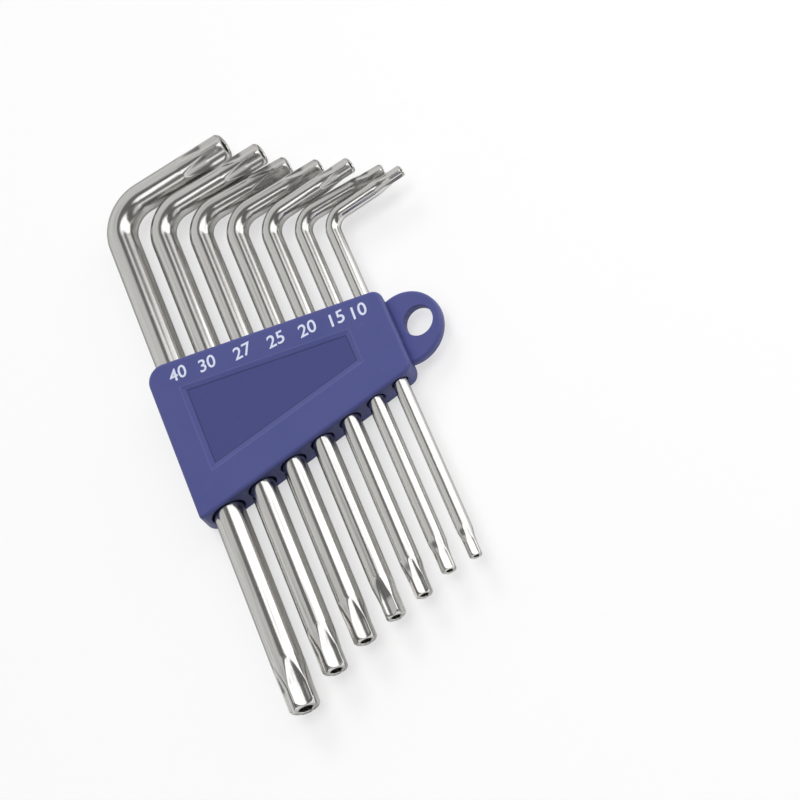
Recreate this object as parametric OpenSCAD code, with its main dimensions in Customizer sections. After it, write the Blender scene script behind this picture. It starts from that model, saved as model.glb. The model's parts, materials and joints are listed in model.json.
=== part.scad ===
// Set of seven L-shaped star keys with drilled five-lobe tips, in a moulded holder with a hang eye.
// The set lies on the flat back of the holder: X runs along the row of keys from the largest to the
// smallest, Y runs from the tips to the bends, and Z points out of the front of the holder.
// The origin is the middle of the back. Lengths are millimetres and angles are degrees.

/* [Holder] */
// Height of the holder at its wide end, beside the largest key
wide_h = 37.2; // [32:0.1:45]
// Height of the holder at its narrow end, beside the smallest key
narrow_h = 19.5; // [17:0.1:28]
// How far the middle of the narrow end lies below the middle of the wide end
narrow_drop = 2.5; // [0:0.1:4]
// Plan radius of the upper corner at the wide end
wide_corner_r = 3.6; // [2:0.1:5]
// Plan radius of the lower corner at the wide end
heel_corner_r = 0.9; // [0.9:0.1:3]
// Plan radius of the corners at the narrow end
narrow_corner_r = 2.4; // [1.6:0.1:4]
// Radius of the rounded front edges
edge_r = 0.8; // [0.4:0.1:0.8]
// Radius of the rounded back edges
back_edge_r = 2.3; // [0.8:0.1:3]
// Angle by which the wide end leans towards the narrow end on its way to the front
wide_lean = 10.5; // [0:0.5:12]
// Angle by which the narrow end leans the same way
narrow_lean = 7; // [0:0.5:10]
// Wall between the back and the hole of the largest key
back_wall = 2.0; // [1.6:0.05:3]
// Wall in front of the hole of the largest key
wide_front_wall = 1.05; // [1:0.05:4]
// Wall in front of the hole of the smallest key
narrow_front_wall = 0.8; // [0.8:0.05:3]
// Wall between the wide end and the hole of the largest key
wide_end_wall = 2.25; // [1.7:0.05:4]
// Wall between the narrow end and the hole of the smallest key
narrow_end_wall = 2.25; // [1.5:0.05:5]
// Wall between the holes of neighbouring keys
key_web = 2.45; // [2:0.05:5]

/* [Key holes] */
// Radial running clearance of a key in its hole
key_clearance = 0.08; // [0.04:0.01:0.1]
// Depth of the wider mouth where a hole leaves the tip side
mouth_depth = 3; // [1:0.1:6]

/* [Panel] */
// Depth of the sunk panel on the front
panel_depth = 0.3; // [0.2:0.05:0.6]
// Width of the sloping border of the panel
panel_border = 1.3; // [0.5:0.1:2]
// Strip for the size numbers, between the top edge and the panel
number_strip = 6.5; // [4:0.05:8]
// Strip between the bottom edge and the panel
foot_strip = 7.6; // [5:0.05:9]
// Distance from the wide end to the panel
panel_wide_gap = 7.1; // [5:0.05:12]
// Distance from the narrow end to the panel
panel_narrow_gap = 8.5; // [5:0.05:14]

/* [Hang eye] */
// Outer radius of the eye
eye_r = 7.9; // [6:0.1:8.5]
// Thickness of the eye
eye_t = 2.2; // [1.6:0.1:4]
// Chamfer around the eye
eye_chamfer = 0.4; // [0.1:0.05:0.6]
// Diameter of the hang hole
hang_d = 6.4; // [4:0.1:7]
// Height of the eye above the middle of the narrow end
eye_rise = 0.2; // [0:0.1:1]
// Distance from the narrow end to the middle of the eye's outline
eye_out = 1.6; // [1.2:0.1:3]
// Distance from the narrow end to the middle of the hang hole
hang_out = 4.5; // [4.2:0.1:5]

/* [Nesting] */
// Height of the largest key's bend corner above the middle of the holder
first_bend_y = 58.4; // [52:0.1:70]
// Gap between the short arms of neighbouring keys
nest_gap = 0.25; // [0.15:0.05:1]

/* [Tips] */
// Part of a flute's length that is the same on every key
flute_base = 4.2; // [3:0.1:6]

/* [Key 40] */
// Wire diameter
wire_40 = 6.7; // [6:0.05:7.4]
// Diameter over the lobes
tip_40 = 6.65; // [6:0.01:6.7]
// Long arm, from the bend corner to the tip
long_40 = 122; // [110:0.5:135]
// Short arm, from the bend corner to the tip
short_40 = 29.3; // [26:0.1:36]

/* [Key 30] */
// Wire diameter
wire_30 = 5.6; // [5:0.05:6.2]
// Diameter over the lobes
tip_30 = 5.52; // [5:0.01:5.6]
// Long arm, from the bend corner to the tip
long_30 = 111.8; // [100:0.1:125]
// Short arm, from the bend corner to the tip
short_30 = 27.4; // [24:0.1:34]

/* [Key 27] */
// Wire diameter
wire_27 = 5.1; // [4.6:0.05:5.6]
// Diameter over the lobes
tip_27 = 4.99; // [4.5:0.01:5.1]
// Long arm, from the bend corner to the tip
long_27 = 103.9; // [94:0.1:115]
// Short arm, from the bend corner to the tip
short_27 = 23.5; // [21:0.1:30]

/* [Key 25] */
// Wire diameter
wire_25 = 4.65; // [4.2:0.05:5.2]
// Diameter over the lobes
tip_25 = 4.43; // [4:0.01:4.6]
// Long arm, from the bend corner to the tip
long_25 = 97.5; // [88:0.1:108]
// Short arm, from the bend corner to the tip
short_25 = 22.5; // [20:0.1:28]

/* [Key 20] */
// Wire diameter
wire_20 = 4.2; // [3.8:0.05:4.8]
// Diameter over the lobes
tip_20 = 3.86; // [3.5:0.01:4.2]
// Long arm, from the bend corner to the tip
long_20 = 91.8; // [82:0.1:102]
// Short arm, from the bend corner to the tip
short_20 = 22; // [19:0.1:27]

/* [Key 15] */
// Wire diameter
wire_15 = 3.7; // [3.3:0.05:4.2]
// Diameter over the lobes
tip_15 = 3.27; // [3:0.01:3.6]
// Long arm, from the bend corner to the tip
long_15 = 85.8; // [77:0.1:97]
// Short arm, from the bend corner to the tip
short_15 = 20.8; // [18:0.1:25]

/* [Key 10] */
// Wire diameter
wire_10 = 3.2; // [2.8:0.05:3.7]
// Diameter over the lobes
tip_10 = 2.74; // [2.5:0.01:3.2]
// Long arm, from the bend corner to the tip
long_10 = 82.2; // [73:0.1:92]
// Short arm, from the bend corner to the tip
short_10 = 18.7; // [16:0.1:23]

/* [Hidden] */
$fn = 48;

holder_colour = [0.33, 0.34, 0.56];
steel_colour = [0.72, 0.71, 0.69];

// Every cut runs this far past the face that it opens
overrun = 1;
// Facets of a rounded corner, and steps of a rounded edge
corner_facets = 32;
edge_steps = 4;

// The keys in their order along the row
wires = [wire_40, wire_30, wire_27, wire_25, wire_20, wire_15, wire_10];
tips = [tip_40, tip_30, tip_27, tip_25, tip_20, tip_15, tip_10];
longs = [long_40, long_30, long_27, long_25, long_20, long_15, long_10];
shorts = [short_40, short_30, short_27, short_25, short_20, short_15, short_10];
last = len(wires) - 1;
// Angle of each short arm out of the plane of the row, towards the front
arm_turns = [-1, -2, -5, -3, 2, -3, 3];

// Shares of the wire diameter: bend radius of the wire's middle line, and widening of a hole's mouth
bend_share = 1.15;
mouth_share = 0.06;
// Shares of the tip diameter: flute length that grows with the tip, depth of the drilled hole, and
// chamfer around the end
flute_share = 0.93;
pin_depth_share = 0.9;
chamfer_share = 0.13;
// Shares of the tip radius: bottom of a flute, and radius of the drilled hole
root_share = 0.7;
pin_hole_share = 0.45;
// Share of the key's radius at which the middle line of a flute's round bottom lies, outside the key
flute_axis_share = 1.5;
// Share of a flute's length in which it runs out to the surface of the wire, and share of the flute's
// depth that is left halfway
runout_share = 0.4;
halfway_share = 0.25;
// Share of the space outside the wire that a flute's cutter fills at its end
clear_share = 0.97;
// Shares of a flute's length between which a thinner tip grows to the wire
shoulder_start_share = 0.63;
shoulder_end_share = 0.9;
lobes = 5;
// Least plan radius of a corner at the back, as a share of the radius of the back edges
ball_share = 1.07;

// Radius of the hole for a key, which also lets its tip pass
function hole_r(i) = max(wires[i], tips[i]) / 2 + key_clearance;
function mouth_r(i) = hole_r(i) + wires[i] * mouth_share;

// Distance of a key from the first key of the row
function row_x(i) = i == 0 ? 0 : row_x(i - 1) + hole_r(i - 1) + key_web + hole_r(i);

holder_l = wide_end_wall + hole_r(0) + row_x(last) + hole_r(last) + narrow_end_wall;
wide_x = -holder_l / 2;
narrow_x = holder_l / 2;
key_z = back_wall + hole_r(0);
narrow_y = -narrow_drop;
eye_y = narrow_y + eye_rise;

function key_x(i) = wide_x + wide_end_wall + hole_r(0) + row_x(i);

// Bend corner of a key: each short arm lies under the one before it
function bend_y(i) = i == 0 ? first_bend_y : bend_y(i - 1) - (wires[i - 1] + wires[i]) / 2 - nest_gap;

// Edges of the holder along the row
function along(x) = (x - wide_x) / holder_l;
function top_y(x) = wide_h / 2 + along(x) * (narrow_y + narrow_h / 2 - wide_h / 2);
function bottom_y(x) = -wide_h / 2 + along(x) * (narrow_y - narrow_h / 2 + wide_h / 2);

// The front slopes from the largest to the smallest key
front_wide_z = key_z + hole_r(0) + wide_front_wall;
front_narrow_z = key_z + hole_r(last) + narrow_front_wall;
front_angle = atan2(front_wide_z - front_narrow_z, row_x(last));
function front_z(x) = front_wide_z - (x - key_x(0)) * tan(front_angle);

// Outline of the holder at the height of the keys, with the radius and the lean of each corner
holder_corners = [
    [wide_x, bottom_y(wide_x)],
    [narrow_x, bottom_y(narrow_x)],
    [narrow_x, top_y(narrow_x)],
    [wide_x, top_y(wide_x)]
];
holder_radii = [heel_corner_r, narrow_corner_r, narrow_corner_r, wide_corner_r];
holder_leans = [wide_lean, narrow_lean, narrow_lean, wide_lean];

// Shift of a corner along the row, at a height
function lean_x(i, z) = (z - key_z) * tan(holder_leans[i]);

// Middle of the arc that rounds a corner between its two neighbours
function unit(v) = v / norm(v);
function arc_middle(corner, before, after, r) =
    let (
        u = unit(before - corner),
        v = unit(after - corner),
        half = acos(u * v) / 2
    )
    corner + unit(u + v) * r / sin(half);

// The same for a corner of the holder
function corner_middle(i, r) =
    let (count = len(holder_corners))
    arc_middle(holder_corners[i], holder_corners[(i + count - 1) % count], holder_corners[(i + 1) % count], r);

// Outline of the panel, drawn in from its outer edge by an inset
function panel_outline(inset) =
    let (
        left = wide_x + panel_wide_gap + inset,
        right = narrow_x - panel_narrow_gap - inset
    )
    [
        [left, bottom_y(left) + foot_strip + inset],
        [right, bottom_y(right) + foot_strip + inset],
        [right, top_y(right) - number_strip - inset],
        [left, top_y(left) - number_strip - inset]
    ];

eye_z = front_z(narrow_x) / 2;

// Moves its children onto the sloping front, with Z out of it
module on_front(x, y) {
    translate([x, y, front_z(x)])
        rotate([0, front_angle, 0])
            children();
}

// Disc under Z = 0 whose upper edge is rounded
module rounded_disc(r, edge) {
    rotate_extrude($fn = corner_facets)
        polygon([
            [0, -edge],
            for (k = [0 : edge_steps])
                let (turn = k * 90 / edge_steps)
                [r - edge * (1 - cos(turn)), -edge * (1 - sin(turn))],
            [0, 0]
        ]);
}

module holder_body() {
    hull()
        for (i = [0 : len(holder_corners) - 1]) {
            front_r = holder_radii[i];
            back_r = max(front_r, back_edge_r * ball_share);
            front = corner_middle(i, front_r);
            back = corner_middle(i, back_r);
            translate([back.x + lean_x(i, 0), back.y, 0])
                mirror([0, 0, 1])
                    rounded_disc(back_r, back_edge_r);
            on_front(front.x + lean_x(i, front_z(front.x)), front.y)
                rounded_disc(front_r, edge_r);
        }
}

module eye_disc() {
    half = eye_t / 2;
    translate([narrow_x + eye_out, eye_y, eye_z])
        rotate_extrude()
            polygon([
                [0, -half],
                [eye_r - eye_chamfer, -half],
                [eye_r, -half + eye_chamfer],
                [eye_r, half - eye_chamfer],
                [eye_r - eye_chamfer, half],
                [0, half]
            ]);
}

module hang_hole() {
    translate([narrow_x + hang_out, eye_y, eye_z - eye_t / 2 - overrun])
        cylinder(d = hang_d, h = eye_t + 2 * overrun);
}

module key_hole(i) {
    start_y = -wide_h;
    translate([key_x(i), start_y, key_z])
        rotate([-90, 0, 0]) {
            cylinder(r = hole_r(i), h = 2 * wide_h);
            cylinder(r = mouth_r(i), h = bottom_y(key_x(i)) + mouth_depth - start_y);
        }
}

module panel_cut() {
    floor_t = panel_depth / 2;
    hull()
        on_front(0, 0) {
            linear_extrude(overrun)
                polygon(panel_outline(0));
            translate([0, 0, -panel_depth])
                linear_extrude(floor_t)
                    polygon(panel_outline(panel_border));
        }
}

module holder() {
    color(holder_colour)
        difference() {
            union() {
                holder_body();
                eye_disc();
            }
            panel_cut();
            hang_hole();
            for (i = [0 : last])
                key_hole(i);
        }
}

// Cutter of one flute of a tip whose end lies at Z = 0: a wide round groove that ends in a pointed arch
module flute(wire, tip) {
    root_r = tip / 2 * root_share;
    axis_r = max(wire, tip) / 2 * flute_axis_share;
    flute_l = flute_base + tip * flute_share;
    valley_r = axis_r - root_r;
    start_z = flute_l * (1 - runout_share);
    end_r = (axis_r - wire / 2) * clear_share;
    translate([axis_r, 0, 0])
        rotate_extrude()
            polygon([
                [0, -overrun],
                [valley_r, -overrun],
                [valley_r, start_z],
                [end_r + (valley_r - end_r) * halfway_share, (start_z + flute_l) / 2],
                [end_r, flute_l],
                [0, flute_l]
            ]);
}

// Straight arm that starts at Z = 0 and ends in its star tip
module arm(length, wire, tip) {
    flute_l = flute_base + tip * flute_share;
    chamfer = tip * chamfer_share;
    difference() {
        rotate_extrude()
            polygon([
                [0, 0],
                [wire / 2, 0],
                [wire / 2, length - flute_l * shoulder_end_share],
                [tip / 2, length - flute_l * shoulder_start_share],
                [tip / 2, length - chamfer],
                [tip / 2 - chamfer, length],
                [0, length]
            ]);
        translate([0, 0, length])
            mirror([0, 0, 1]) {
                for (k = [0 : lobes - 1])
                    rotate([0, 0, k * 360 / lobes])
                        flute(wire, tip);
                translate([0, 0, -overrun])
                    cylinder(d = tip * pin_hole_share, h = overrun + tip * pin_depth_share);
            }
    }
}

// Key with its bend corner at the origin, its long arm along -Y and its short arm along +X
module bent_key(wire, tip, long, short) {
    bend_r = wire * bend_share;
    translate([0, -bend_r, 0])
        rotate([90, 0, 0])
            arm(long - bend_r, wire, tip);
    translate([bend_r, -bend_r, 0])
        rotate([0, 0, 90])
            rotate_extrude(angle = 90)
                translate([bend_r, 0])
                    circle(d = wire);
    translate([bend_r, 0, 0])
        rotate([0, 90, 0])
            arm(short - bend_r, wire, tip);
}

module key(i) {
    color(steel_colour)
        translate([key_x(i), bend_y(i), key_z])
            rotate([0, -arm_turns[i], 0])
                bent_key(wires[i], tips[i], longs[i], shorts[i]);
}

module key_40() key(0);
module key_30() key(1);
module key_27() key(2);
module key_25() key(3);
module key_20() key(4);
module key_15() key(5);
module key_10() key(6);

holder();
key_40();
key_30();
key_27();
key_25();
key_20();
key_15();
key_10();
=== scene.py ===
"""Looks of a set of seven star keys in a moulded holder with a hang eye.

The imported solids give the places. Each key is drawn out of one ring of vertices that is fluted, bent and
drilled, and the holder is a rounded wedge with a sunk panel, key holes and an eye. Lengths are metres,
and the angles among the fields are degrees.
"""
import json
import logging
import math
from dataclasses import dataclass, field
from enum import Enum
from typing import Any, Callable, Union

import bmesh
import bpy
from bmesh.types import BMEdge, BMesh, BMVert
from mathutils import Matrix, Vector


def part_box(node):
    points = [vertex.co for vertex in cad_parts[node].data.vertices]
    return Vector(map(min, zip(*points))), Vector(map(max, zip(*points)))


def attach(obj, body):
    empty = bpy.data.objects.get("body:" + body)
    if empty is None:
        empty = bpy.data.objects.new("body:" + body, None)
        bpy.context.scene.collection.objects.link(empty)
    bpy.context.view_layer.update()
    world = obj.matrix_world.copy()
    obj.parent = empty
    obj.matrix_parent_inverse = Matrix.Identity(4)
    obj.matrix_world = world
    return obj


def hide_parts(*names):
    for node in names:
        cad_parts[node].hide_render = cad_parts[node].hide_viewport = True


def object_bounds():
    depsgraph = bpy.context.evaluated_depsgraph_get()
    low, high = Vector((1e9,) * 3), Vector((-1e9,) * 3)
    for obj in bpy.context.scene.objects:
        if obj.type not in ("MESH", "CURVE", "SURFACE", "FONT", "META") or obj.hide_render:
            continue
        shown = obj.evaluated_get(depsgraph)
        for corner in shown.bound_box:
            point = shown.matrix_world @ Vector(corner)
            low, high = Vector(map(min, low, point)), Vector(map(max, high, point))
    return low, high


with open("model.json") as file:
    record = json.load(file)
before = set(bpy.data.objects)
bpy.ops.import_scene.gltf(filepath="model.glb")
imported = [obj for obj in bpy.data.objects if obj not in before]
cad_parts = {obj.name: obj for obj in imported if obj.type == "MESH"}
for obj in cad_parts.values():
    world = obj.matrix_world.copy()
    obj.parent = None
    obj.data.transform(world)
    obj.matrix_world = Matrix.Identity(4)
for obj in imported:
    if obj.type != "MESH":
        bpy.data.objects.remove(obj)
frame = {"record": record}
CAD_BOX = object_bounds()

LOG = logging.getLogger("star_key_set")
MM = 0.001
MERGE_DIST = 0.0005 * MM
RIGHT_ANGLE = math.pi / 2
LEAST_ANGLE = 0.001
ANGLE_SLACK = 1e-6
NOISE_MEAN = 0.5

# Diameter over the lobes of each size, and the turn of the flutes about each arm in degrees.
STAR_SIZES = {"40": 6.65 * MM, "30": 5.52 * MM, "27": 4.99 * MM, "25": 4.43 * MM, "20": 3.86 * MM,
              "15": 3.27 * MM, "10": 2.74 * MM}
LONG_FLUTE_TURNS = {"40": 66.0, "30": 63.0, "27": 72.0, "25": 16.0, "20": 66.0, "15": 64.0, "10": 60.0}
SHORT_FLUTE_TURN = 40.0

Triple = tuple[float, float, float]
Colour = Triple
Span = tuple[float, float]
PanelSide = tuple[Triple, float]
Number = Union[float, "Wave"]


class Slot(Enum):
    """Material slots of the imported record."""

    PLASTIC = "holder_plastic"
    STEEL = "key_steel"


class Arm(Enum):
    """The two arms of a key, by the name of the mount at the arm's end."""

    LONG = "long_tip"
    SHORT = "short_tip"


class Joining(Enum):
    """What a second shape does to a piece."""

    ADD = "UNION"
    CUT = "DIFFERENCE"


def thrice(value: float) -> Triple:
    """The same value for three axes or three colour channels."""
    return (value, value, value)


class Wave:
    """A value socket of a shader, whose sums and products add Math nodes."""

    def __init__(self, graph: "Graph", socket: bpy.types.NodeSocket) -> None:
        """Wraps an output socket of a graph."""
        self.graph = graph
        self.socket = socket

    def _math(self, operation: str, first: Number, second: Number) -> "Wave":
        """Result of one Math node on two values."""
        return self.graph.node("ShaderNodeMath", {"operation": operation}, {0: first, 1: second})

    def __add__(self, other: Number) -> "Wave":
        """Sum."""
        return self._math("ADD", self, other)

    def __radd__(self, other: Number) -> "Wave":
        """Sum with a number on the left."""
        return self._math("ADD", other, self)

    def __sub__(self, other: Number) -> "Wave":
        """Difference."""
        return self._math("SUBTRACT", self, other)

    def __rsub__(self, other: Number) -> "Wave":
        """Difference from a number on the left."""
        return self._math("SUBTRACT", other, self)

    def __mul__(self, other: Number) -> "Wave":
        """Product."""
        return self._math("MULTIPLY", self, other)

    def __rmul__(self, other: Number) -> "Wave":
        """Product with a number on the left."""
        return self._math("MULTIPLY", other, self)


class Graph:
    """Node tree of a material or a world, emptied for new nodes."""

    def __init__(self, owner: Union[bpy.types.Material, bpy.types.World]) -> None:
        """Empties the owner's tree.

        Args:
            owner: Material or world that the nodes belong to.
        """
        self.owner = owner
        owner.use_nodes = True
        self.tree = owner.node_tree
        self.tree.nodes.clear()

    def node(self, kind: str, settings: dict[str, Any], values: dict[Any, Any], out: Any = 0) -> Any:
        """Adds a node.

        Args:
            kind: Type of the node.
            settings: Attributes of the node, set first.
            values: Numbers, colours or links of its inputs, by name or place.
            out: Name or place of the output that is wanted, or None.

        Returns:
            That output, ready for sums.
        """
        made = self.tree.nodes.new(kind)
        for key, value in settings.items():
            setattr(made, key, value)
        for key, value in values.items():
            self.feed(made.inputs[key], value)
        return Wave(self, made.outputs[out]) if out is not None else None

    def feed(self, socket: bpy.types.NodeSocket, value: Any) -> None:
        """Links a value to an input, or sets it there.

        Args:
            socket: The input.
            value: A number, a colour or the result of another node.
        """
        if isinstance(value, Wave):
            self.tree.links.new(value.socket, socket)
        elif socket.type == "RGBA":
            socket.default_value = (*value, 1.0)
        else:
            socket.default_value = value

    def place(self, kind: str = "Object") -> Wave:
        """Coordinates of a kind, by default those of the object."""
        return self.node("ShaderNodeTexCoord", {}, {}, kind)

    def stretched(self, vector: Wave, sizes: Triple) -> Wave:
        """Coordinates counted in the given sizes along the three axes."""
        counts = tuple(1 / size for size in sizes)
        return self.node("ShaderNodeVectorMath", {"operation": "MULTIPLY"}, {0: vector, 1: counts})

    def noise(self, vector: Wave, sizes: Triple, detail: float) -> Wave:
        """Noise about its mean, with waves of the given sizes along the three axes."""
        waves = self.stretched(vector, sizes)
        return self.node("ShaderNodeTexNoise", {}, {"Vector": waves, "Scale": 1.0, "Detail": detail})

    def along(self, vector: Wave, axis: Triple) -> Wave:
        """Part of a vector along an axis."""
        return self.node("ShaderNodeVectorMath", {"operation": "DOT_PRODUCT"},
                         {0: vector, 1: axis}, "Value")

    def span(self, value: Wave, low: float, high: float) -> Wave:
        """Smooth step of a value from 0 at low to 1 at high."""
        return self.node("ShaderNodeMapRange", {"interpolation_type": "SMOOTHSTEP"},
                         {"Value": value, "From Min": low, "From Max": high})

    def blend(self, share: Wave, first: Any, second: Any) -> Wave:
        """Mixes two colours by a share."""
        return self.node("ShaderNodeMix", {"data_type": "RGBA"}, {0: share, 6: first, 7: second}, 2)

    def bump(self, height: Wave, depth: float, strength: float) -> Wave:
        """Normal of a surface that rises and falls with a height."""
        return self.node("ShaderNodeBump", {}, {"Height": height, "Distance": depth, "Strength": strength})

    def coat(self, **inputs: Any) -> bpy.types.Material:
        """Ends a material with its shader.

        Args:
            inputs: The shader's inputs, whose names are written with underscores.

        Returns:
            The material.
        """
        named = {key.replace("_", " ").title(): value for key, value in inputs.items()}
        shader = self.node("ShaderNodeBsdfPrincipled", {}, named)
        self.node("ShaderNodeOutputMaterial", {}, {"Surface": shader}, None)
        return self.owner


def surface(name: str) -> Graph:
    """Graph of a new material."""
    return Graph(bpy.data.materials.new(name))


@dataclass(frozen=True)
class MouldedPlastic:
    """Violet-blue moulded plastic: a fine spark-eroded grain, faint clouds and a few scuffs."""

    colour: Colour = (0.061, 0.071, 0.238)
    cloud_colour: Colour = (0.077, 0.087, 0.267)
    cloud_size: float = 9 * MM
    cloud_detail: float = 3.0
    roughness: float = 0.44
    roughness_change: float = 0.12
    grain_size: float = 0.22 * MM
    grain_detail: float = 3.0
    grain_depth: float = 0.03 * MM
    grain_strength: float = 0.25
    scuff_colour: Colour = (0.16, 0.168, 0.34)
    scuff_share: float = 0.4
    scuff_sizes: Triple = (5 * MM, 0.5 * MM, 5 * MM)
    scuff_detail: float = 4.0
    scuff_span: Span = (0.66, 0.8)
    scuff_roughness: float = 0.06
    panel_colour: Colour = (0.052, 0.058, 0.205)
    panel_fade: float = 0.2 * MM
    # Painted shade: a dark band round the panel's floor, in the inner corner of its border.
    crease_shade_colour: Colour = (0.022, 0.024, 0.09)
    crease_shade_share: float = 0.75
    crease_shade_w: float = 0.3 * MM
    # Painted highlight: a light band just outside the panel's border, along its outer edge.
    painted_rim_colour: Colour = (0.13, 0.14, 0.33)
    rim_highlight_share: float = 0.45
    rim_highlight_w: float = 0.22 * MM

    def inside(self, graph: Graph, panel: list[PanelSide], grow: float) -> Wave:
        """Masks the panel's floor.

        Args:
            graph: The material's graph.
            panel: An axis across each side of the floor, which points inwards, and where the floor starts.
            grow: Distance by which the mask is larger than the floor.

        Returns:
            The mask.
        """
        place = graph.place()
        mask: Number = 1.0
        for axis, start in panel:
            low = start - grow
            mask = mask * graph.span(graph.along(place, axis), low, low + self.panel_fade)
        return mask

    def material(self, panel: list[PanelSide], border: float) -> bpy.types.Material:
        """Dresses the holder: dark on its panel's floor, with painted shade round that floor and a painted
        highlight on the rim.

        Args:
            panel: An axis across each side of that floor, which points inwards, and where the floor starts.
            border: Width of the panel's border, between its floor and its rim.

        Returns:
            The material.
        """
        graph = surface("moulded_plastic")
        place = graph.place()
        clouds = graph.noise(place, thrice(self.cloud_size), self.cloud_detail)
        grain = graph.noise(place, thrice(self.grain_size), self.grain_detail)
        scuffs = graph.span(graph.noise(place, self.scuff_sizes, self.scuff_detail), *self.scuff_span)
        floor = self.inside(graph, panel, 0.0)
        # Painted shade round the panel's floor, along the inner corner of its border.
        crease_shade = self.inside(graph, panel, self.crease_shade_w) - floor
        # Painted highlight just outside the panel's border, along its outer edge.
        rim = self.inside(graph, panel, border + self.rim_highlight_w) - self.inside(graph, panel, border)
        clouded = graph.blend(clouds, self.colour, self.cloud_colour)
        wear_and_highlight = graph.blend(rim * self.rim_highlight_share, clouded, self.painted_rim_colour)
        crease_shaded = graph.blend(crease_shade * self.crease_shade_share, wear_and_highlight, self.crease_shade_colour)
        shaded = graph.blend(floor, crease_shaded, self.panel_colour)
        rough_grain = (grain - NOISE_MEAN) * self.roughness_change
        return graph.coat(
            base_color=graph.blend(scuffs * self.scuff_share, shaded, self.scuff_colour),
            roughness=self.roughness + rough_grain + scuffs * self.scuff_roughness,
            normal=graph.bump(grain, self.grain_depth, self.grain_strength),
        )


@dataclass(frozen=True)
class NickelPlate:
    """Satin nickel on drawn wire: lengthwise drawing streaks and faint handling haze."""

    colour: Colour = (0.76, 0.75, 0.725)
    # Painted shade: a dark edge tint that darkens the reflections where they graze the wire's edges.
    painted_rim_colour: Colour = (0.2, 0.2, 0.2)
    roughness: float = 0.19
    streak_colour: Colour = (0.62, 0.61, 0.585)
    streak_sizes: Triple = (0.35 * MM, 0.35 * MM, 14 * MM)
    streak_detail: float = 4.0
    streak_span: Span = (0.5, 0.75)
    streak_roughness: float = 0.08
    streak_depth: float = 0.01 * MM
    streak_strength: float = 0.12
    haze_size: float = 4 * MM
    haze_detail: float = 3.0
    haze_roughness: float = 0.06
    along_wire: str = "wire_place"

    def material(self) -> bpy.types.Material:
        """Dresses the keys, on coordinates that follow each wire.

        Returns:
            The material.
        """
        graph = surface("nickel_plate")
        wire = graph.node("ShaderNodeAttribute", {"attribute_name": self.along_wire}, {}, "Vector")
        streaks = graph.noise(wire, self.streak_sizes, self.streak_detail)
        haze = graph.noise(graph.place(), thrice(self.haze_size), self.haze_detail)
        marked = graph.span(streaks, *self.streak_span)
        hazy = (haze - NOISE_MEAN) * self.haze_roughness
        return graph.coat(
            base_color=graph.blend(marked, self.colour, self.streak_colour),
            metallic=1.0,
            # The dark edge tint paints shade along the wire's grazing edges.
            specular_tint=self.painted_rim_colour,
            roughness=self.roughness + marked * self.streak_roughness + hazy,
            normal=graph.bump(streaks, self.streak_depth, self.streak_strength),
        )


@dataclass(frozen=True)
class PrintedInk:
    """White screen-printed ink, with slight wear."""

    colour: Colour = (0.67, 0.71, 0.86)
    roughness: float = 0.5
    worn_colour: Colour = (0.48, 0.51, 0.66)
    worn_span: Span = (0.62, 0.8)
    worn_roughness: float = 0.15
    speck_size: float = 0.25 * MM
    speck_detail: float = 3.0

    def material(self) -> bpy.types.Material:
        """Dresses the size numbers.

        Returns:
            The material.
        """
        graph = surface("printed_ink")
        specks = graph.noise(graph.place(), thrice(self.speck_size), self.speck_detail)
        wear_and_highlight = graph.span(specks, *self.worn_span)
        return graph.coat(base_color=graph.blend(wear_and_highlight, self.colour, self.worn_colour),
                          roughness=self.roughness + wear_and_highlight * self.worn_roughness)


@dataclass(frozen=True)
class PaleFloor:
    """Plain matt white floor, partly lit from behind, so that shadows on it are pale."""

    colour: Colour = (0.95, 0.95, 0.95)
    glow_colour: Colour = (1.0, 1.0, 1.0)
    seen_share: float = 0.6
    mirrored_share: float = 0.1

    def material(self) -> bpy.types.Material:
        """Dresses the floor, whose own light shows to the eye and in mirrors alone.

        Returns:
            The material.
        """
        graph = surface("pale_floor")
        paper = graph.node("ShaderNodeBsdfDiffuse", {}, {"Color": self.colour})
        glow = graph.node("ShaderNodeEmission", {}, {"Color": self.glow_colour})
        shares = {"Is Camera Ray": self.seen_share, "Is Glossy Ray": self.mirrored_share,
                  "Is Transmission Ray": self.mirrored_share}
        backlit = sum(graph.node("ShaderNodeLightPath", {}, {}, ray) * share
                      for ray, share in shares.items())
        shown = graph.node("ShaderNodeMixShader", {}, {0: backlit, 1: paper, 2: glow})
        graph.node("ShaderNodeOutputMaterial", {}, {"Surface": shown}, None)
        graph.owner.cycles.emission_sampling = "NONE"
        return graph.owner


def mount_of(name: str) -> dict[str, Any]:
    """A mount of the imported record, by its name."""
    return next(mount for mount in frame["record"]["mounts"] if mount["name"] == name)


def seat_of(name: str) -> tuple[Vector, Vector]:
    """Place and axis of a mount."""
    mount = mount_of(name)
    return Vector(mount["pos_m"]), Vector(mount["axis"])


def shade(mesh: bpy.types.Mesh, sharp_angle: float) -> None:
    """Smooths every face, and keeps the edges sharp that turn by more than an angle."""
    mesh.polygons.foreach_set("use_smooth", [True] * len(mesh.polygons))
    mesh.set_sharp_from_angle(angle=sharp_angle)


def make_piece(name: str, bm: BMesh, material: bpy.types.Material,
               sharp_angle: float = math.pi) -> bpy.types.Object:
    """Turns a finished bmesh into an object with smooth faces.

    Args:
        name: Name of the piece.
        bm: Mesh, which is freed.
        material: Its finish.
        sharp_angle: Edges that turn by more than this stay sharp. By default none does.

    Returns:
        The object, at the origin.
    """
    mesh = bpy.data.meshes.new(name)
    bm.to_mesh(mesh)
    bm.free()
    shade(mesh, sharp_angle)
    mesh.materials.append(material)
    piece = bpy.data.objects.new(name, mesh)
    bpy.context.scene.collection.objects.link(piece)
    return piece


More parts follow.
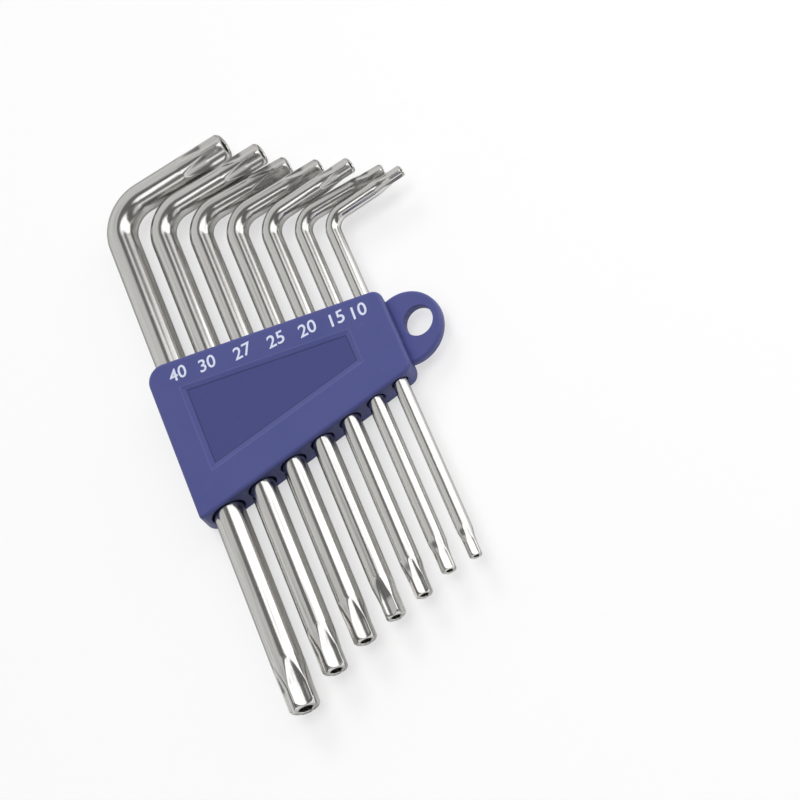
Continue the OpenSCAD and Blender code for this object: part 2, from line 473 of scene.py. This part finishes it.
def clean(bm: BMesh) -> None:
    """Merges vertices that coincide and turns every face outwards.

    Args:
        bm: Mesh of closed shapes.
    """
    bmesh.ops.remove_doubles(bm, verts=bm.verts[:], dist=MERGE_DIST)
    bmesh.ops.dissolve_degenerate(bm, edges=bm.edges[:], dist=MERGE_DIST)
    bmesh.ops.recalc_face_normals(bm, faces=bm.faces[:])


def draw_out(bm: BMesh, ring: list[BMVert], shape: Callable[[int], Vector]) -> list[BMVert]:
    """Extrudes a ring and moves the new ring's vertices.

    Args:
        bm: Mesh that holds the ring.
        ring: Vertices of the last ring, in order.
        shape: Gives the new place of a vertex by its number.

    Returns:
        The new ring, in the same order.
    """
    edges = [bm.edges.get((a, b)) for a, b in zip(ring, ring[1:] + ring[:1])]
    made = bmesh.ops.extrude_edge_only(bm, edges=edges)["geom"]
    fresh = {g for g in made if isinstance(g, BMVert)}
    twins = [next(e.other_vert(v) for e in v.link_edges if e.other_vert(v) in fresh) for v in ring]
    for number, vert in enumerate(twins):
        vert.co = shape(number)
    return twins


def lathe(bm: BMesh, outline: list[Span], seat: Matrix, steps: int) -> None:
    """Spins an outline about the Z axis of a seat into a closed solid.

    Args:
        bm: Mesh that takes the solid.
        outline: Radius and height of each point, from one pole to the other.
        seat: Where the solid's axis lies.
        steps: Sides of the solid.
    """
    before = set(bm.verts)
    points = [bm.verts.new((radius, 0.0, height)) for radius, height in outline]
    lines = [bm.edges.new(pair) for pair in zip(points, points[1:])]
    bmesh.ops.spin(bm, geom=points + lines, cent=(0, 0, 0), axis=(0, 0, 1), dvec=(0, 0, 0),
                   angle=math.tau, steps=steps, use_merge=True)
    fresh = [v for v in bm.verts if v not in before]
    bmesh.ops.remove_doubles(bm, verts=fresh, dist=MERGE_DIST)
    fresh = [v for v in bm.verts if v not in before]
    bmesh.ops.transform(bm, matrix=seat, verts=fresh)


@dataclass
class StarKey:
    """One L-shaped key: a bent wire with a drilled five-lobe tip at both ends."""

    label: str
    tip_d: float
    flute_turns: dict[Arm, float]
    lobes: int = 5
    half_steps: int = 5
    bend_steps: int = 28
    runout_steps: int = 14
    bend_share: float = 1.15
    root_share: float = 0.72
    pin_share: float = 0.45
    pin_depth_share: float = 0.9
    drill_point_share: float = 0.5
    axis_share: float = 1.9
    flute_base: float = 4.2 * MM
    flute_share: float = 0.93
    widest_flute_share: float = 0.97
    runout_share: float = 0.55
    straight_shares: tuple[float, ...] = (0.75, 0.5, 0.25)
    shoulder_shares: Span = (0.63, 0.92)
    chamfer_share: float = 0.13
    end_shares: tuple[float, ...] = (1.0, 0.75, 0.5, 0.25, 0.08, 0.0)
    lobe_round_share: float = 0.03
    rim: float = 0.12 * MM
    sharp_angle: float = 38.0
    node: str = field(init=False)

    def __post_init__(self) -> None:
        """Takes the key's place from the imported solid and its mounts."""
        self.node = f"key_{self.label}"
        self.long_end, _ = seat_of(f"{Arm.LONG.value}_{self.label}")
        self.short_end, self.short_way = seat_of(f"{Arm.SHORT.value}_{self.label}")
        self.corner = Vector((self.long_end.x, self.short_end.y, self.long_end.z))
        self.wire_d = 2 * (self.long_end.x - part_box(self.node)[0].x)
        self.bend_r = self.wire_d * self.bend_share
        self.flute_l = self.flute_base + self.tip_d * self.flute_share
        self.runout_start = self.flute_l * (1 - self.runout_share)
        self.axis_r = max(self.wire_d, self.tip_d) / 2 * self.axis_share
        self.valley_r = self.axis_r - self.tip_d / 2 * self.root_share
        self.runout_r = self.axis_r - self.wire_d / 2
        self.chamfer = self.tip_d * self.chamfer_share
        self.lobe_round = self.tip_d * self.lobe_round_share

    def body_r(self, back: float) -> float:
        """Finds the radius of the round wire, with its shoulder and the chamfer at its end.

        Args:
            back: Distance from the tip's end.

        Returns:
            The radius.
        """
        start, end = (share * self.flute_l for share in self.shoulder_shares)
        grow = min(1.0, max(0.0, (back - start) / (end - start)))
        radius = self.tip_d / 2 + (self.wire_d - self.tip_d) / 2 * grow * grow * (3 - 2 * grow)
        if back >= self.chamfer:
            return radius
        # The chamfer is halfway between a straight one and a quarter round.
        rise = back / self.chamfer
        return self.tip_d / 2 - self.chamfer * (1 - (rise + math.sqrt(1 - (1 - rise) ** 2)) / 2)

    def cutter_r(self, back: float) -> float:
        """Finds the radius of a flute's round bottom, which shrinks until the flute ends in an arch.

        Args:
            back: Distance from the tip's end.

        Returns:
            The radius about the flute's own axis.
        """
        run = (back - self.runout_start) / (self.flute_l - self.runout_start)
        left = 1 - min(1.0, max(0.0, run))
        return self.runout_r + (self.valley_r - self.runout_r) * left

    def edge_angle(self, back: float) -> float:
        """Finds the angle between the middle of a flute and its edge.

        Args:
            back: Distance from the tip's end.

        Returns:
            The angle, or past the flute that of even spacing.
        """
        if back > self.flute_l:
            return math.pi / self.lobes / 2
        body, cutter = self.body_r(back), self.cutter_r(back)
        cosine = (self.axis_r ** 2 + body ** 2 - cutter ** 2) / (2 * self.axis_r * body)
        angle = math.acos(min(1.0, max(-1.0, cosine)))
        return min(max(angle, LEAST_ANGLE), math.pi / self.lobes * self.widest_flute_share)

    def star_point(self, place: int, back: float) -> Span:
        """Finds one point of the star outline.

        Args:
            place: Number of the point round the ring, from the middle of a flute.
            back: Distance from the tip's end.

        Returns:
            Angle and radius of the point.
        """
        each = 4 * self.half_steps
        lobe, step = divmod(place, each)
        far = min(step, each - step)
        edge, half = self.edge_angle(back), math.pi / self.lobes
        if far <= self.half_steps:
            off = edge * far / self.half_steps
        else:
            off = edge + (half - edge) * (far - self.half_steps) / self.half_steps
        angle = lobe * 2 * half + (off if step == far else 2 * half - off)
        radius, cutter = self.body_r(back), self.cutter_r(back)
        across = self.axis_r * math.sin(off)
        if back <= self.flute_l and abs(across) < cutter:
            cut = self.axis_r * math.cos(off) - math.sqrt(cutter ** 2 - across ** 2)
            # A smooth minimum of wire and flute rounds the edges of the lobes.
            ease = max(self.lobe_round - abs(radius - cut), 0.0) / self.lobe_round
            radius = min(radius, cut) - ease * ease * self.lobe_round / 4
        return angle, radius

    @property
    def count(self) -> int:
        """Vertices of a ring."""
        return 4 * self.half_steps * self.lobes

    def stations(self) -> list[float]:
        """Spaces the rings of a fluted arm.

        Returns:
            Distance of each ring from the tip's end, from the wire to the end.
        """
        run_l = self.flute_l - self.runout_start
        run = [self.runout_start + run_l * k / self.runout_steps for k in range(self.runout_steps + 1)]
        straight = [self.runout_start * share for share in self.straight_shares]
        end = [self.chamfer * share for share in self.end_shares]
        return [self.flute_l + self.chamfer, *reversed(run), *straight, *end]

    def arm(self, bm: BMesh, ring: list[BMVert], arm: Arm, start: Vector, way: Vector, side: Vector,
            length: float) -> None:
        """Draws an arm out of a ring: the wire, the flutes, the end and the drilled hole.

        Args:
            bm: Mesh of the key.
            ring: Vertices round the end of the bend.
            arm: Which arm it is.
            start: Middle of that ring.
            way: Direction of the arm.
            side: Direction of the ring's first vertex.
            length: Length of the arm from the ring.
        """
        front = Vector((0, 0, 1))
        turn = math.radians(self.flute_turns[arm])

        def at(angle: float, radius: float, back: float) -> Vector:
            """Point of the arm by angle, radius and distance from its end."""
            out = side * radius * math.cos(angle) + front * radius * math.sin(angle)
            return start + way * (length - back) + out

        for back in self.stations():
            points = [self.star_point(k, back) for k in range(self.count)]
            ring = draw_out(bm, ring, lambda k: at(points[k][0] + turn, points[k][1], back))
        pin_r, depth = self.tip_d / 2 * self.pin_share, self.tip_d * self.pin_depth_share
        drilled = ((pin_r + self.rim, 0.0), (pin_r, self.rim), (pin_r, depth),
                   (0.0, depth + pin_r * self.drill_point_share))
        for radius, back in drilled:
            ring = draw_out(bm, ring, lambda k: at(math.tau * k / self.count + turn, radius, back))

    def build(self, material: bpy.types.Material, attribute: str) -> bpy.types.Object:
        """Builds the key about its bend corner, then sets it in its place.

        Args:
            material: The keys' finish.
            attribute: Name of the coordinates that follow the wire.

        Returns:
            The key's piece.
        """
        bm = bmesh.new()
        wire = bm.verts.layers.float_vector.new(attribute)
        across, up = Vector((1, 0, 0)), Vector((0, 1, 0))
        turn, short_turn = (math.radians(self.flute_turns[arm]) for arm in (Arm.LONG, Arm.SHORT))
        seat = Matrix.Translation(-up * self.bend_r) @ Matrix.Rotation(RIGHT_ANGLE, 4, "X")
        made = bmesh.ops.create_circle(bm, segments=self.count, radius=self.wire_d / 2,
                                       matrix=seat @ Matrix.Rotation(turn, 4, "Z"))
        first = sorted(made["verts"],
                       key=lambda v: (math.atan2(v.co.z, v.co.x) - turn + ANGLE_SLACK) % math.tau)
        spun = bmesh.ops.spin(bm, geom=first + bm.edges[:], cent=(self.bend_r, -self.bend_r, 0),
                              axis=(0, 0, 1), angle=-RIGHT_ANGLE, steps=self.bend_steps)
        last = sorted((g for g in spun["geom_last"] if isinstance(g, BMVert)),
                      key=lambda v: (math.atan2(v.co.z, -v.co.y) - turn + ANGLE_SLACK) % math.tau)
        # The short arm's flutes start the nearest whole number of vertices further round.
        skip = round((short_turn - turn) / math.tau * self.count)
        last = last[skip:] + last[:skip]
        long_l = (self.corner - self.long_end).length - self.bend_r
        short_l = (self.corner - self.short_end).length - self.bend_r
        self.arm(bm, first, Arm.LONG, -up * self.bend_r, -up, across, long_l)
        self.arm(bm, last, Arm.SHORT, across * self.bend_r, across, -up, short_l)
        for vert in bm.verts:
            vert[wire] = self.straightened(vert.co)
        clean(bm)
        way = self.short_way.normalized()
        turned = Matrix((way, up, way.cross(up))).transposed().to_4x4()
        bmesh.ops.transform(bm, matrix=Matrix.Translation(self.corner) @ turned, verts=bm.verts[:])
        piece = make_piece(f"star_key_{self.label}", bm, material, math.radians(self.sharp_angle))
        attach(piece, self.node)
        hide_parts(self.node)
        return piece

    def straightened(self, point: Vector) -> Vector:
        """Finds where a point would lie if the wire were straight.

        Args:
            point: Point of the key about its bend corner.

        Returns:
            Its coordinates, with the distance along the wire last.
        """
        if point.y < -self.bend_r:
            return Vector((point.x, point.z, point.y + self.bend_r))
        if point.x > self.bend_r:
            return Vector((-point.y, point.z, self.bend_r * RIGHT_ANGLE + point.x - self.bend_r))
        out = Vector((self.bend_r - point.x, point.y + self.bend_r))
        return Vector((self.bend_r - out.length, point.z, self.bend_r * math.atan2(out.y, out.x)))


@dataclass
class Holder:
    """The moulded holder: a wedge with leaning ends, a sunk panel, seven key holes and a hang eye."""

    keys: list[StarKey]
    wide_h: float = 37.2 * MM
    narrow_h: float = 19.5 * MM
    narrow_drop: float = 2.5 * MM
    heel_corner_r: float = 0.9 * MM
    wide_corner_r: float = 3.6 * MM
    narrow_corner_r: float = 2.4 * MM
    edge_r: float = 0.8 * MM
    back_edge_r: float = 2.3 * MM
    ball_share: float = 1.07
    wide_lean: float = 10.5
    narrow_lean: float = 7.0
    wide_front_wall: float = 1.05 * MM
    narrow_front_wall: float = 0.8 * MM
    wide_end_wall: float = 2.25 * MM
    narrow_end_wall: float = 2.25 * MM
    key_clearance: float = 0.08 * MM
    mouth_depth: float = 3 * MM
    mouth_share: float = 0.06
    mouth_step: float = 0.5 * MM
    panel_depth: float = 0.3 * MM
    panel_border: float = 1.3 * MM
    panel_round: float = 0.18 * MM
    panel_round_steps: int = 2
    number_strip: float = 6.5 * MM
    foot_strip: float = 7.6 * MM
    panel_wide_gap: float = 7.1 * MM
    panel_narrow_gap: float = 8.5 * MM
    same_plane: float = 0.999
    eye_r: float = 7.9 * MM
    eye_t: float = 2.2 * MM
    eye_round: float = 0.7 * MM
    eye_out: float = 1.6 * MM
    hang_rim: float = 0.25 * MM
    hang_rim_share: float = 0.3
    overrun: float = 1 * MM
    corner_steps: int = 10
    edge_steps: int = 6
    hole_steps: int = 64
    sharp_angle: float = 32.0
    node: str = "holder"

    def __post_init__(self) -> None:
        """Works out the wedge from the places of the keys."""
        first, last = self.keys[0], self.keys[-1]
        self.key_z = first.long_end.z
        self.wide_x = first.long_end.x - self.hole_r(first) - self.wide_end_wall
        self.narrow_x = last.long_end.x + self.hole_r(last) + self.narrow_end_wall
        high = self.key_z + self.hole_r(first) + self.wide_front_wall
        low = self.key_z + self.hole_r(last) + self.narrow_front_wall
        self.slope = (high - low) / (last.long_end.x - first.long_end.x)
        self.front_start = high + first.long_end.x * self.slope
        self.front_normal = Vector((self.slope, 0, 1)).normalized()
        self.hang, _ = seat_of("hang_hole")
        self.hang_r = mount_of("hang_hole")["dims"]["r_mm"] * MM

    def hole_r(self, key: StarKey) -> float:
        """Radius of a key's hole."""
        return max(key.wire_d, key.tip_d) / 2 + self.key_clearance

    def front_z(self, x: float) -> float:
        """Height of the sloping front."""
        return self.front_start - x * self.slope

    def edge_y(self, x: float, side: int) -> float:
        """Finds the top or the bottom edge of the outline.

        Args:
            x: Place along the row of keys.
            side: 1 for the top edge, -1 for the bottom edge.

        Returns:
            Where the edge lies there.
        """
        along = (x - self.wide_x) / (self.narrow_x - self.wide_x)
        narrow = -self.narrow_drop + side * self.narrow_h / 2
        return side * self.wide_h / 2 + along * (narrow - side * self.wide_h / 2)

    def corners(self, least: float) -> list[tuple[Vector, float, float, float]]:
        """Rounds the four corners of the outline at the height of the keys.

        Args:
            least: Least radius of a corner.

        Returns:
            Middle, radius, first angle and angle swept of each arc, from the lower wide corner on.
        """
        outline = [Vector((x, self.edge_y(x, side))) for x, side in
                   ((self.wide_x, -1), (self.narrow_x, -1), (self.narrow_x, 1), (self.wide_x, 1))]
        radii = (self.heel_corner_r, self.narrow_corner_r, self.narrow_corner_r, self.wide_corner_r)
        befores, afters = outline[-1:] + outline[:-1], outline[1:] + outline[:1]
        arcs = []
        for before, corner, after, own_r in zip(befores, outline, afters, radii):
            radius = max(least, own_r)
            u, v = (before - corner).normalized(), (after - corner).normalized()
            half = u.angle(v) / 2
            middle = corner + (u + v).normalized() * radius / math.sin(half)
            arcs.append((middle, radius, math.atan2(u.x, -u.y), math.pi - 2 * half))
        return arcs

    def ring_point(self, number: int, turn: float, front: bool) -> Vector:
        """Finds a point of the holder's rounded front or back edge.

        Args:
            number: Number of the point round the outline.
            turn: Angle round the edge, from 0 on the side to a right angle on the face.
            front: Whether it is the front edge.

        Returns:
            The point.
        """
        post, step = divmod(number, self.corner_steps + 1)
        edge = self.edge_r if front else self.back_edge_r
        middle, radius, first, swept = self.corners(edge if front else edge * self.ball_share)[post]
        angle = first + swept * step / self.corner_steps
        reach, low = radius - edge * (1 - math.cos(turn)), edge * (1 - math.sin(turn))
        lean = math.tan(math.radians(self.wide_lean if post in (0, 3) else self.narrow_lean))
        x, y = reach * math.cos(angle), reach * math.sin(angle)
        if not front:
            return Vector((middle.x - self.key_z * lean + x, middle.y + y, low))
        foot = middle.x + (self.front_z(middle.x) - self.key_z) * lean
        along = Vector((self.front_normal.z, 0, -self.front_normal.x))
        return Vector((foot, middle.y + y, self.front_z(foot))) + along * x - self.front_normal * low

    def wedge(self) -> BMesh:
        """Makes the wedge with its rounded corners and edges, ring by ring from the back to the front.

        Returns:
            The mesh.
        """
        bm = bmesh.new()
        turns = [RIGHT_ANGLE * step / self.edge_steps for step in range(self.edge_steps + 1)]
        rings = [(turn, False) for turn in reversed(turns)] + [(turn, True) for turn in turns]
        count = 4 * (self.corner_steps + 1)
        ring = bmesh.ops.create_circle(bm, cap_ends=True, segments=count, radius=self.wide_h)["verts"]
        for number, vert in enumerate(ring):
            vert.co = self.ring_point(number, *rings[0])
        for turn, front in rings[1:]:
            ring = draw_out(bm, ring, lambda number: self.ring_point(number, turn, front))
        bm.faces.new(ring)
        bmesh.ops.recalc_face_normals(bm, faces=bm.faces[:])
        return bm

    def bevel(self, bm: BMesh, edges: list[BMEdge], offset: float, steps: int) -> None:
        """Rounds edges."""
        bmesh.ops.bevel(bm, geom=edges, offset=offset, offset_type="OFFSET", segments=steps, profile=0.5,
                        affect="EDGES", material=-1)

    def panel_sides(self) -> list[PanelSide]:
        """Bounds the panel's floor for the finish.

        Returns:
            An axis across each side of the floor, which points inwards, and where the floor starts.
        """
        rise = {side: self.edge_y(1.0, side) - self.edge_y(0.0, side) for side in (-1, 1)}
        return [((1, 0, 0), self.wide_x + self.panel_wide_gap + self.panel_border),
                ((-1, 0, 0), self.panel_narrow_gap + self.panel_border - self.narrow_x),
                ((-rise[-1], 1, 0), self.edge_y(0.0, -1) + self.foot_strip + self.panel_border),
                ((rise[1], -1, 0), self.number_strip + self.panel_border - self.edge_y(0.0, 1)),
                ((0, 0, 1), self.key_z)]

    def panel(self, bm: BMesh) -> None:
        """Sinks the panel into the front: four cuts free its outline, and an inset makes its border.

        Args:
            bm: Mesh of the wedge.
        """
        left, right = self.wide_x + self.panel_wide_gap, self.narrow_x - self.panel_narrow_gap
        outline = [Vector((x, self.edge_y(x, side) - side * strip, self.front_z(x)))
                   for x, side, strip in ((left, -1, self.foot_strip), (right, -1, self.foot_strip),
                                          (right, 1, self.number_strip), (left, 1, self.number_strip))]
        face = max(bm.faces, key=lambda f: f.calc_area() * f.normal.dot(self.front_normal))
        for start, end in zip(outline, outline[1:] + outline[:1]):
            across = self.front_normal.cross(end - start).normalized()
            made = bmesh.ops.bisect_plane(bm, geom=[face, *face.edges, *face.verts],
                                          plane_co=start, plane_no=across)
            halves = {f for g in made["geom_cut"] if isinstance(g, BMEdge) for f in g.link_faces}
            face = max((f for f in halves if f.normal.dot(self.front_normal) > self.same_plane),
                       key=lambda f: (f.calc_center_median() - start).dot(across))
        border = bmesh.ops.inset_region(bm, faces=[face], thickness=self.panel_border,
                                        depth=-self.panel_depth, use_even_offset=True,
                                        use_boundary=True)["faces"]
        edges = list(dict.fromkeys(e for f in border for e in f.edges))
        self.bevel(bm, edges, self.panel_round, self.panel_round_steps)

    def eye(self) -> BMesh:
        """Makes the disc of the eye with a rounded rim, without its hole.

        Returns:
            The mesh.
        """
        bm = bmesh.new()
        seat = Matrix.Translation((self.narrow_x + self.eye_out, self.hang.y, self.hang.z))
        bmesh.ops.create_cone(bm, cap_ends=True, segments=2 * self.hole_steps, radius1=self.eye_r,
                              radius2=self.eye_r, depth=self.eye_t, matrix=seat)
        rims = [e for e in bm.edges if abs(e.verts[0].co.z - e.verts[1].co.z) < self.eye_t / 2]
        self.bevel(bm, rims, self.eye_round, self.edge_steps)
        return bm

    def bores(self) -> BMesh:
        """Makes the cutters of the hang hole, with its rounded rims, and of the key holes.

        Returns:
            The mesh of all the cutters.
        """
        bm = bmesh.new()
        half, wide = self.eye_t / 2, self.hang_r + self.hang_rim
        ease = self.hang_rim * self.hang_rim_share
        upper = [(self.hang_r, half - self.hang_rim), (self.hang_r + ease, half - ease), (wide, half),
                 (wide, half + self.overrun), (0.0, half + self.overrun)]
        lower = [(radius, -height) for radius, height in reversed(upper)]
        lathe(bm, lower + upper, Matrix.Translation(self.hang), self.hole_steps)
        for key in self.keys:
            x = key.long_end.x
            radius = self.hole_r(key)
            mouth = radius + key.wire_d * self.mouth_share
            start, end = -self.wide_h, self.edge_y(x, -1) + self.mouth_depth
            seat = Matrix.Translation((x, 0, self.key_z)) @ Matrix.Rotation(-RIGHT_ANGLE, 4, "X")
            lathe(bm, [(0.0, start), (mouth, start), (mouth, end), (radius, end + self.mouth_step),
                       (radius, self.wide_h), (0.0, self.wide_h)], seat, self.hole_steps)
        return bm

    def combine(self, base: bpy.types.Object, other: BMesh, joining: Joining) -> None:
        """Joins a shape to a piece or cuts it out, and keeps the result as the piece's mesh.

        Args:
            base: The piece.
            other: The other shape, which is freed.
            joining: Whether the shape is added or cut out.
        """
        clean(other)
        tool = make_piece("cutter", other, base.data.materials[0])
        step = base.modifiers.new("joining", "BOOLEAN")
        step.operation, step.solver, step.object = joining.value, "EXACT", tool
        bpy.context.view_layer.update()
        ready = base.evaluated_get(bpy.context.evaluated_depsgraph_get())
        joined = bpy.data.meshes.new_from_object(ready)
        base.modifiers.remove(step)
        base.data = joined
        bpy.data.objects.remove(tool)

    def build(self, material: bpy.types.Material) -> bpy.types.Object:
        """Builds the holder.

        Args:
            material: Its finish.

        Returns:
            The holder's piece.
        """
        body = self.wedge()
        self.panel(body)
        clean(body)
        piece = make_piece("key_holder", body, material)
        self.combine(piece, self.eye(), Joining.ADD)
        self.combine(piece, self.bores(), Joining.CUT)
        shade(piece.data, math.radians(self.sharp_angle))
        even = piece.modifiers.new("even_shading", "WEIGHTED_NORMAL")
        even.keep_sharp = True
        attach(piece, self.node)
        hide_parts(self.node)
        return piece


@dataclass
class SizeNumbers:
    """Printed numbers of the key sizes, in a row under the holder's top edge."""

    holder: Holder
    height: float = 2.9 * MM
    under_edge: float = 3.36 * MM
    first_shift: float = 2.17 * MM
    last_shift: float = -1.1 * MM
    middle_shift: float = 0.13 * MM
    turn: float = -3.0
    lift: float = 0.02 * MM
    boldness: float = 0.012
    spread: float = 1.02
    sharp_angle: float = 30.0

    def shift(self, number: int) -> float:
        """Distance of a number from the middle of its key, along the row."""
        ends = {0: self.first_shift, len(self.holder.keys) - 1: self.last_shift}
        return ends.get(number, self.middle_shift)

    def build(self, material: bpy.types.Material) -> bpy.types.Object:
        """Builds all the numbers as one flat piece on the front.

        Args:
            material: The ink.

        Returns:
            The piece, which rides on the holder.
        """
        bm = bmesh.new()
        normal = self.holder.front_normal
        along = Vector((0, 1, 0)).cross(normal)
        basis = Matrix((along, normal.cross(along), normal)).transposed().to_4x4()
        turned = basis @ Matrix.Rotation(math.radians(self.turn), 4, "Z")
        for number, key in enumerate(self.holder.keys):
            before = set(bm.verts)
            bm.from_mesh(self.figures(key.label))
            fresh = [v for v in bm.verts if v not in before]
            x = key.long_end.x + self.shift(number)
            spot = Vector((x, self.holder.edge_y(x, 1) - self.under_edge, self.holder.front_z(x)))
            seat = Matrix.Translation(spot + normal * self.lift) @ turned
            bmesh.ops.transform(bm, matrix=seat, verts=fresh)
        piece = make_piece("size_numbers", bm, material, math.radians(self.sharp_angle))
        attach(piece, self.holder.node)
        return piece

    def figures(self, words: str) -> bpy.types.Mesh:
        """Makes the figures of one number.

        Args:
            words: The number.

        Returns:
            A mesh about the origin, with figures of the right height.
        """
        text = bpy.data.curves.new("figures", "FONT")
        text.body = words
        text.offset = self.boldness
        text.space_character = self.spread
        text.extrude = self.lift
        shown = bpy.data.objects.new("figures", text)
        bpy.context.scene.collection.objects.link(shown)
        bpy.context.view_layer.update()
        ready = shown.evaluated_get(bpy.context.evaluated_depsgraph_get())
        mesh = bpy.data.meshes.new_from_object(ready)
        bpy.data.objects.remove(shown)
        xs, ys = ([v.co[axis] for v in mesh.vertices] for axis in (0, 1))
        scale = self.height / (max(ys) - min(ys))
        centre = Vector(((min(xs) + max(xs)) / 2, (min(ys) + max(ys)) / 2, 0))
        mesh.transform(Matrix.Diagonal((scale, scale, 1.0, 1.0)) @ Matrix.Translation(-centre))
        return mesh


@dataclass(frozen=True)
class Softbox:
    """A soft lamp that faces the origin, by direction, distance, width and height, and brightness.

    A lamp that isn't mirrored hangs behind a diffuser, which shows in no polished surface.
    """

    name: str
    way: Triple
    distance: float
    size: Span
    radiance: float
    mirrored: bool = True

    def build(self) -> None:
        """Hangs the lamp."""
        data = bpy.data.lights.new(self.name, "AREA")
        data.shape, data.size, data.size_y = "RECTANGLE", *self.size
        data.energy = self.radiance * math.pi * self.size[0] * self.size[1]
        lamp = bpy.data.objects.new(self.name, data)
        way = Vector(self.way).normalized()
        facing = way.to_track_quat("Z", "Y").to_matrix().to_4x4()
        lamp.matrix_world = Matrix.Translation(way * self.distance) @ facing
        lamp.visible_camera = False
        lamp.visible_glossy = self.mirrored
        bpy.context.scene.collection.objects.link(lamp)


@dataclass
class Studio:
    """Floor, soft light and the camera at the photograph's angle."""

    azimuth: float = 28.3
    elevation: float = 59.4
    roll: float = 55.7
    distance: float = 0.4907
    aim: Triple = (19.795 * MM, -13.19 * MM, 0.0)
    lens: float = 109.65
    sensor_w: float = 36.0
    clip: Span = (0.01, 100.0)
    floor_size: float = 6.0
    floor_gap: float = 0.02 * MM
    dusk: float = 0.13
    sky: float = 0.65
    horizon: float = 0.75
    far_span: Span = (0.15, 0.38)
    left_span: Span = (0.0, 0.12)
    low_span: Span = (-0.5, -0.32)
    near_span: Span = (0.7, 0.88)
    right_span: Span = (-0.22, -0.08)
    lamps: tuple[Softbox, ...] = (
        Softbox("side_softbox", (0.847, 0.18, 0.5), 0.5, (0.36, 0.84), 1.3),
        Softbox("high_softbox", (0.396, 0.472, 0.788), 0.6, (0.16, 0.2), 0.9),
        Softbox("top_softbox", (0.1, 0.03, 0.99), 3.0, (1.5, 1.5), 4.5, False),
        Softbox("far_softbox", (0.02, 0.74, 0.67), 3.0, (1.1, 1.1), 6.2, False),
        Softbox("over_softbox", (-0.27, -0.33, 0.9), 0.8, (0.28, 0.28), 1.4),
        Softbox("near_strip", (-0.24, -0.85, 0.45), 0.6, (0.22, 0.12), 0.9),
    )

    def camera(self) -> None:
        """Places the camera by its angles and its distance from the aim."""
        turn, rise = math.radians(self.azimuth), math.radians(self.elevation)
        back = Vector((math.sin(turn) * math.cos(rise), -math.cos(turn) * math.cos(rise), math.sin(rise)))
        data = bpy.data.cameras.new("camera")
        data.lens, data.sensor_width = self.lens, self.sensor_w
        data.clip_start, data.clip_end = self.clip
        camera = bpy.data.objects.new("camera", data)
        bpy.context.scene.collection.objects.link(camera)
        facing = (-back).to_track_quat("-Z", "Y").to_matrix().to_4x4()
        place = Matrix.Translation(Vector(self.aim) + back * self.distance)
        camera.matrix_world = place @ facing @ Matrix.Rotation(-math.radians(self.roll), 4, "Z")
        bpy.context.scene.camera = camera

    def floor(self) -> None:
        """Lays the floor under the holder's back."""
        bm = bmesh.new()
        bmesh.ops.create_grid(bm, x_segments=1, y_segments=1, size=self.floor_size)
        bmesh.ops.translate(bm, vec=(0, 0, CAD_BOX[0].z - self.floor_gap), verts=bm.verts[:])
        make_piece("floor", bm, PaleFloor().material())

    def surroundings(self) -> None:
        """Lights the room from the far left, the far horizon and the near right; the rest stays dim."""
        world = bpy.data.worlds.new("studio")
        graph = Graph(world)
        way = graph.place("Generated")
        far = graph.span(graph.along(way, (0, 1, 0)), *self.far_span)
        left = graph.span(graph.along(way, (-1, 0, 0)), *self.left_span)
        low = graph.span(graph.along(way, (0, 0, -1)), *self.low_span)
        near = graph.span(graph.along(way, (0, -1, 0)), *self.near_span)
        right = graph.span(graph.along(way, (1, 0, 0)), *self.right_span)
        side_light = graph.blend(far * left, thrice(self.dusk), thrice(self.sky))
        far_light = graph.blend(far * low, side_light, thrice(self.horizon))
        light = graph.blend(near * right, far_light, thrice(self.sky))
        room = graph.node("ShaderNodeBackground", {}, {"Color": light})
        graph.node("ShaderNodeOutputWorld", {}, {"Surface": room}, None)
        bpy.context.scene.world = world

    def build(self) -> None:
        """Sets up the scene round the object."""
        bpy.context.scene.view_settings.view_transform = "Standard"
        self.camera()
        self.floor()
        self.surroundings()
        for lamp in self.lamps:
            lamp.build()


def main() -> None:
    """Builds the studio, the keys, the holder and its numbers."""
    logging.basicConfig(level=logging.INFO, format="%(name)s: %(message)s")
    Studio().build()
    plate = NickelPlate()
    steel = plate.material()
    keys = [StarKey(label, tip, {Arm.LONG: LONG_FLUTE_TURNS[label], Arm.SHORT: SHORT_FLUTE_TURN})
            for label, tip in STAR_SIZES.items()]
    pieces = [key.build(steel, plate.along_wire) for key in keys]
    holder = Holder(keys)
    plastic = MouldedPlastic().material(holder.panel_sides(), holder.panel_border)
    pieces.append(holder.build(plastic))
    pieces.append(SizeNumbers(holder).build(PrintedInk().material()))
    for piece in pieces:
        LOG.info("%s: %d faces", piece.name, len(piece.data.polygons))


if __name__ == "__main__":
    main()
